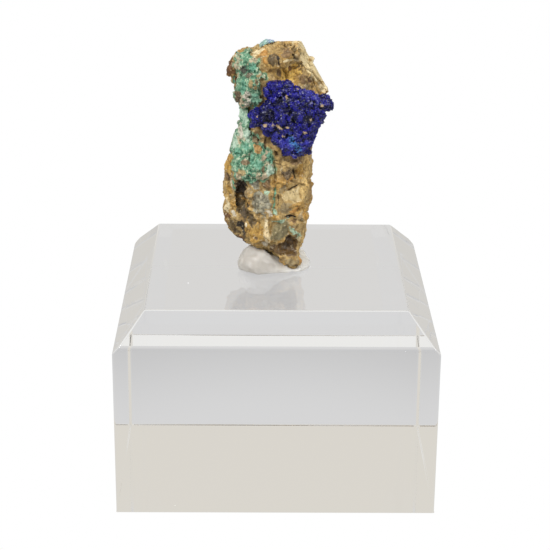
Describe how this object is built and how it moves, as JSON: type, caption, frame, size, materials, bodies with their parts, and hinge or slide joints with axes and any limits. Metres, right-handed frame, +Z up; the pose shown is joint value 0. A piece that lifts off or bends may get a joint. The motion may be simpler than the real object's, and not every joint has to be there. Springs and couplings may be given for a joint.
{
  "type": "azurite specimen on acrylic block",
  "caption": "Brown rock column with a deep blue azurite cluster and a green malachite crust, tacked upright to a bevelled clear acrylic display block.",
  "frame": {"origin": "middle of the acrylic block's underside", "axes": "+Z up through the block and the specimen; the specimen's display side faces -Y, and +X is to its right as seen from the front"},
  "size_m": [0.0318, 0.0318, 0.0448],
  "materials": {
    "acrylic": "polished clear cast acrylic",
    "tack": "milky, slightly glossy mineral tack",
    "rock": "broken, iron-stained rock with quartz",
    "azurite": "small glassy deep blue crystals",
    "malachite": "silky green and mint crust"
  },
  "bodies": {
    "root": {"acrylic_block": "acrylic", "mounting_tack": "tack", "rock_matrix": "rock", "azurite_cluster": "azurite", "azurite_top_spot": "azurite", "malachite_crust": "malachite"}
  },
  "joints": []
}
